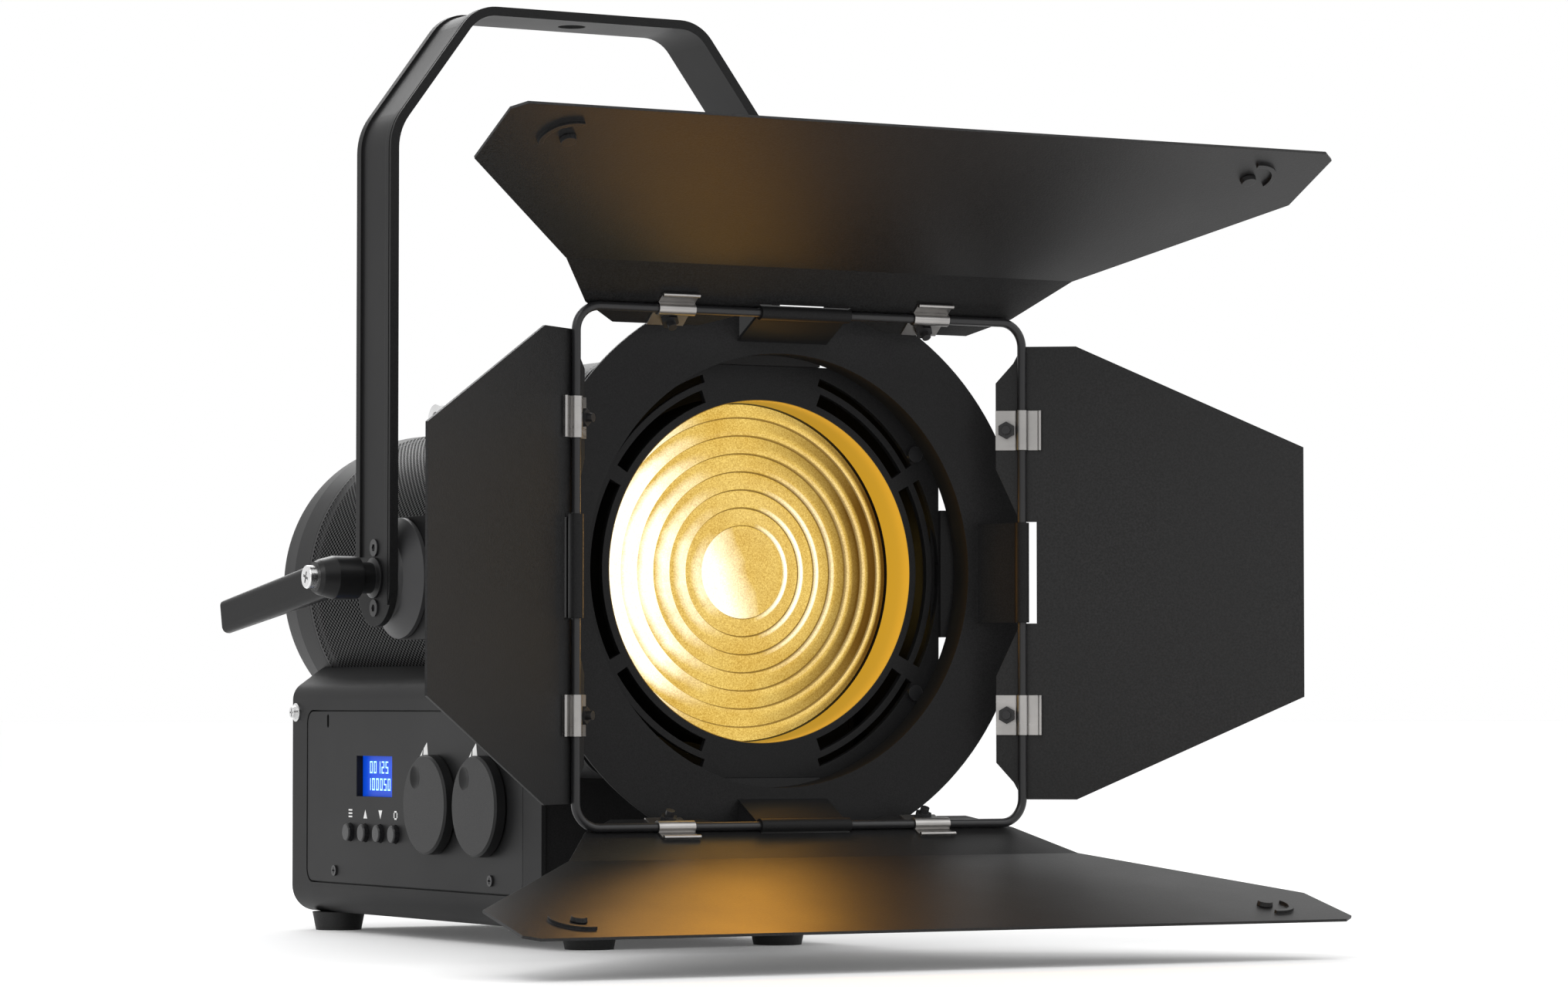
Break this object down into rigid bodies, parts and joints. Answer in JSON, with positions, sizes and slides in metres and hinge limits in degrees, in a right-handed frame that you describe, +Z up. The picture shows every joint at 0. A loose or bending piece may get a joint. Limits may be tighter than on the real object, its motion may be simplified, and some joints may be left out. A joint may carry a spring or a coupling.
{
  "type": "fresnel spotlight",
  "caption": "Theatre fresnel spotlight with folding barn doors on a rotating frame, a tilting yoke with clamping levers, and a control base.",
  "frame": {"origin": "on the floor, under the middle of the lamp's box", "axes": "+Z up, the light shines towards -Y, +X to the lamp's left-hand side as seen from behind it"},
  "size_m": [0.436, 0.547, 0.443],
  "materials": {
    "black_steel": "fine-texture powder coat",
    "black_aluminium": "fine-texture black powder coat on aluminium",
    "door_steel": "coarser black powder coat",
    "mesh": "perforated sheet, black coat",
    "stainless": "bright spring steel",
    "bright_screw": "satin zinc",
    "black_screw": "black oxide",
    "panel": "satin black",
    "knob_plastic": "satin black with a lighter rim",
    "button_plastic": "satin black",
    "lever_plastic": "fine-grain black nylon",
    "disc_plastic": "black nylon",
    "rubber": "matte black",
    "socket_plastic": "black plastic",
    "lens_glass": "stippled stepped glass",
    "lcd": "lit blue display",
    "circuit_board": "green circuit board",
    "potted_supply": "grey cased supply",
    "heat_sink": "plain aluminium",
    "led_array": "yellow phosphor on a metal board",
    "reflector": "bright reflector",
    "rail_steel": "ground steel",
    "fan_plastic": "black plastic"
  },
  "bodies": {
    "housing": {"base_shell": "black_steel", "base_cover": "black_steel", "base_front_plate": "black_steel", "base_rear_plate": "black_steel", "rear_sockets": "socket_plastic", "rubber_feet": "rubber", "control_panel": "panel", "black_screws": "black_screw", "lcd_display": "lcd", "control_board": "circuit_board", "power_supply": "potted_supply", "shell_screws": "bright_screw", "front_housing": "black_aluminium", "front_ring": "black_aluminium", "fresnel_lens": "lens_glass", "accessory_holders": "black_steel", "mesh_tube": "mesh", "rear_cap": "black_aluminium", "fan_frame": "fan_plastic", "fan_guard": "black_screw", "pivot_brackets": "black_aluminium", "pivot_studs": "rail_steel", "focus_rails": "rail_steel", "safety_eye": "bright_screw"},
    "focus_carriage": {"heat_sink": "heat_sink", "led_board": "led_array", "light_cone": "reflector"},
    "focus_knob": {"focus_knob": "rail_steel"},
    "fan": {"fan_rotor": "fan_plastic"},
    "yoke": {"yoke_bar": "black_steel", "yoke_discs": "disc_plastic", "yoke_screws": "black_screw"},
    "left_lever": {"left_lever": "lever_plastic", "left_lever_screw": "bright_screw"},
    "right_lever": {"right_lever": "lever_plastic", "right_lever_screw": "bright_screw"},
    "barndoor_frame": {"ring_plate": "black_steel", "rod_frame": "black_screw"},
    "dimmer_knob_1": {"dimmer_knob_1": "knob_plastic"},
    "dimmer_knob_2": {"dimmer_knob_2": "knob_plastic"},
    "top_door": {"top_door": "door_steel", "top_door_clips": "stainless", "top_door_screws": "black_screw"},
    "bottom_door": {"bottom_door": "door_steel", "bottom_door_clips": "stainless", "bottom_door_screws": "black_screw"},
    "left_door": {"left_door": "door_steel", "left_door_clips": "stainless", "left_door_screws": "black_screw"},
    "right_door": {"right_door": "door_steel", "right_door_clips": "stainless", "right_door_screws": "black_screw"},
    "top_left_ear": {"top_left_ear": "door_steel"},
    "top_right_ear": {"top_right_ear": "door_steel"},
    "bottom_left_ear": {"bottom_left_ear": "door_steel"},
    "bottom_right_ear": {"bottom_right_ear": "door_steel"},
    "button_1": {"button_1": "button_plastic"},
    "button_2": {"button_2": "button_plastic"},
    "button_3": {"button_3": "button_plastic"},
    "button_4": {"button_4": "button_plastic"}
  },
  "joints": [
    {"name": "yoke_tilt", "type": "hinge", "parent": "housing", "child": "yoke", "pos_m": [0, 0.0911, 0.171], "axis": [1, 0, 0], "range_deg": [-180, 50]},
    {"name": "left_lever_turn", "type": "hinge", "parent": "yoke", "child": "left_lever", "pos_m": [-0.11, 0.0911, 0.171], "axis": [-1, 0, 0], "range_deg": [-60, 60]},
    {"name": "right_lever_turn", "type": "hinge", "parent": "yoke", "child": "right_lever", "pos_m": [0.11, 0.0911, 0.171], "axis": [1, 0, 0], "range_deg": [-60, 60]},
    {"name": "barndoor_rotation", "type": "hinge", "parent": "housing", "child": "barndoor_frame", "pos_m": [0, -0.1159, 0.171], "axis": [0, 1, 0], "continuous": true},
    {"name": "top_door_swing", "type": "hinge", "parent": "barndoor_frame", "child": "top_door", "pos_m": [0, -0.1389, 0.284], "axis": [-1, 0, 0], "range_deg": [-80, 53.5]},
    {"name": "bottom_door_swing", "type": "hinge", "parent": "barndoor_frame", "child": "bottom_door", "pos_m": [0, -0.1389, 0.058], "axis": [1, 0, 0], "range_deg": [-67, 66.8]},
    {"name": "left_door_swing", "type": "hinge", "parent": "barndoor_frame", "child": "left_door", "pos_m": [-0.113, -0.1389, 0.171], "axis": [0, 0, -1], "range_deg": [-140.3, 37.7]},
    {"name": "right_door_swing", "type": "hinge", "parent": "barndoor_frame", "child": "right_door", "pos_m": [0.113, -0.1389, 0.171], "axis": [0, 0, 1], "range_deg": [-134.3, 37.7]},
    {"name": "top_left_ear_turn", "type": "hinge", "parent": "top_door", "child": "top_left_ear", "pos_m": [-0.168, -0.23959, 0.34477], "axis": [0, 0.4524, 0.8918], "range_deg": [0, 100]},
    {"name": "top_right_ear_turn", "type": "hinge", "parent": "top_door", "child": "top_right_ear", "pos_m": [0.168, -0.23959, 0.34477], "axis": [0, -0.4524, -0.8918], "range_deg": [0, 100]},
    {"name": "bottom_left_ear_turn", "type": "hinge", "parent": "bottom_door", "child": "bottom_left_ear", "pos_m": [-0.168, -0.25087, 0.02202], "axis": [0, -0.2351, 0.972], "range_deg": [0, 100]},
    {"name": "bottom_right_ear_turn", "type": "hinge", "parent": "bottom_door", "child": "bottom_right_ear", "pos_m": [0.168, -0.25087, 0.02202], "axis": [0, 0.2351, -0.972], "range_deg": [0, 100]},
    {"name": "focus_slide", "type": "slide", "parent": "housing", "child": "focus_carriage", "axis": [0, 1, 0], "range_m": [-0.025, 0.035]},
    {"name": "focus_knob_turn", "type": "hinge", "parent": "housing", "child": "focus_knob", "pos_m": [0, 0.2621, 0.111], "axis": [0, 1, 0], "range_deg": [-600, 840]},
    {"name": "fan_spin", "type": "hinge", "parent": "housing", "child": "fan", "pos_m": [0, 0.2491, 0.171], "axis": [0, 1, 0], "continuous": true},
    {"name": "dimmer_1_turn", "type": "hinge", "parent": "housing", "child": "dimmer_knob_1", "pos_m": [-0.0808, 0.0708, 0.0644], "axis": [-1, 0, 0], "range_deg": [-135, 135]},
    {"name": "dimmer_2_turn", "type": "hinge", "parent": "housing", "child": "dimmer_knob_2", "pos_m": [-0.0808, 0.0173, 0.0644], "axis": [-1, 0, 0], "range_deg": [-135, 135]},
    {"name": "button_1_press", "type": "slide", "parent": "housing", "child": "button_1", "axis": [1, 0, 0], "range_m": [0, 0.0011], "stiffness_N_per_m": 800},
    {"name": "button_2_press", "type": "slide", "parent": "housing", "child": "button_2", "axis": [1, 0, 0], "range_m": [0, 0.0011], "stiffness_N_per_m": 800},
    {"name": "button_3_press", "type": "slide", "parent": "housing", "child": "button_3", "axis": [1, 0, 0], "range_m": [0, 0.0011], "stiffness_N_per_m": 800},
    {"name": "button_4_press", "type": "slide", "parent": "housing", "child": "button_4", "axis": [1, 0, 0], "range_m": [0, 0.0011], "stiffness_N_per_m": 800}
  ],
  "couplings": [
    {"joint": "focus_knob_turn", "follows": "focus_slide", "rad_per_m": 418.8}
  ]
}
